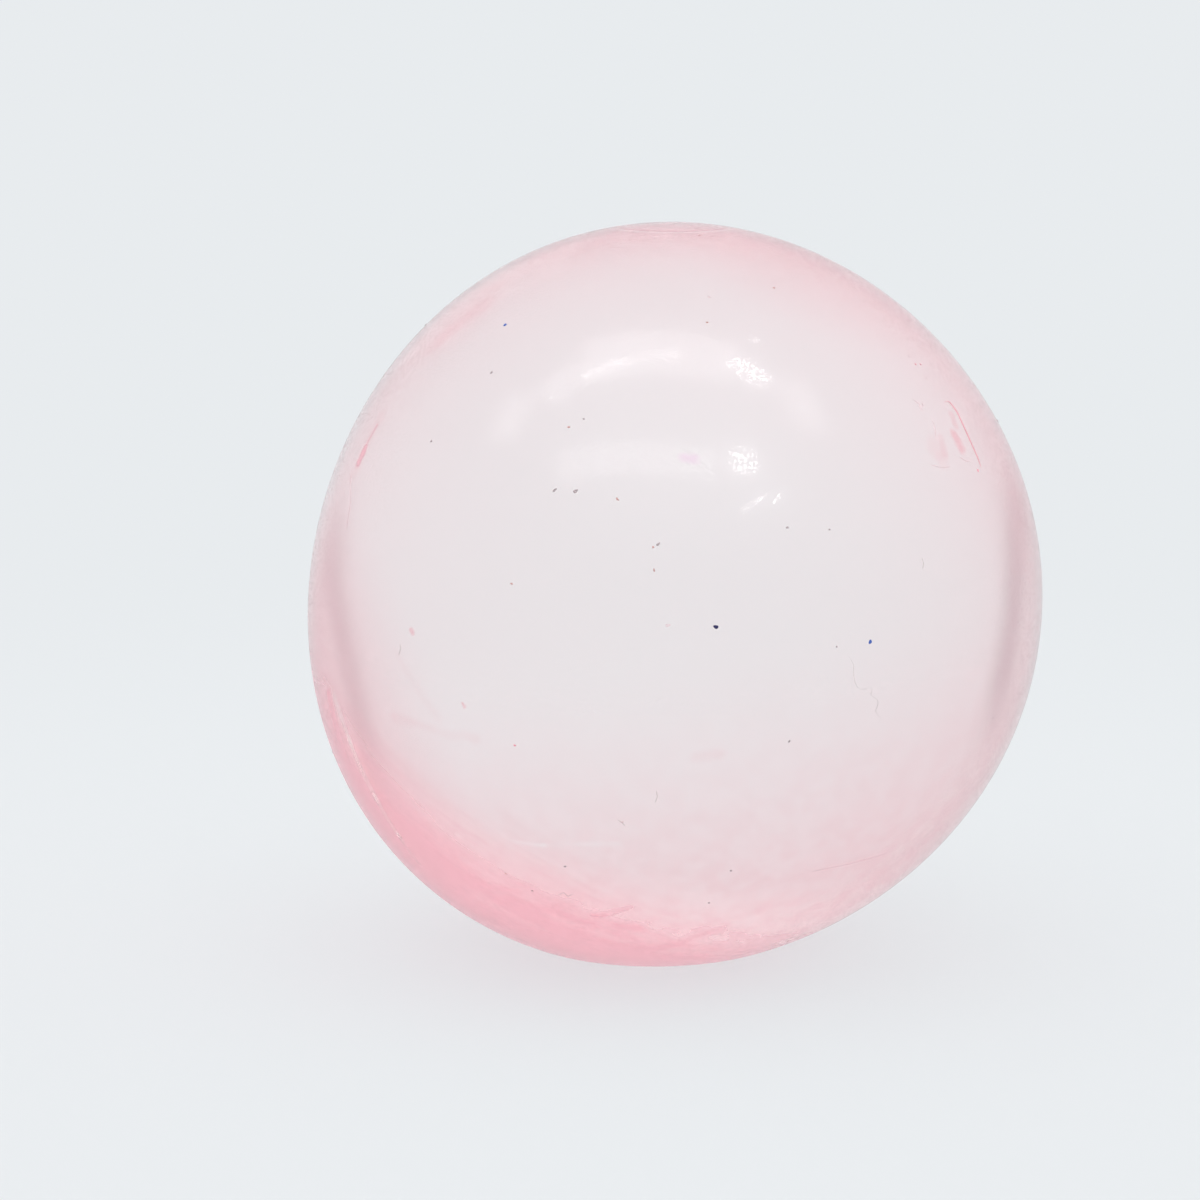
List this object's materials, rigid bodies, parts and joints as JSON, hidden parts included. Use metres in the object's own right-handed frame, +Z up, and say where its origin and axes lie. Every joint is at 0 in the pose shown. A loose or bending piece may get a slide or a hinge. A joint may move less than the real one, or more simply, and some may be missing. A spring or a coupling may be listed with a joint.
{
  "type": "squishy ball",
  "caption": "Clear, soft, hand-sized ball of gel in a worn pink-tinted skin, closed by a sealed stopper at the crown; it flattens when pressed and springs back.",
  "frame": {"origin": "middle of the flat patch that the ball rests on", "axes": "+Z up through the stopper at the crown; -Y towards the pictured side, +X to its right"},
  "size_m": [0.07, 0.07, 0.0685],
  "materials": {
    "clear_skin": "gloss",
    "gel": "gloss",
    "stopper_rubber": "satin",
    "adhesive": "gloss"
  },
  "bodies": {
    "ball": {"skin": "clear_skin", "gel_core": "gel"},
    "crown": {"fill_plug": "stopper_rubber", "seal_cap": "adhesive"}
  },
  "joints": [
    {"name": "squeeze", "type": "slide", "parent": "ball", "child": "crown", "axis": [0, 0, -1], "range_m": [0, 0.024], "stiffness_N_per_m": 900, "deforming": ["skin", "gel_core"]}
  ]
}
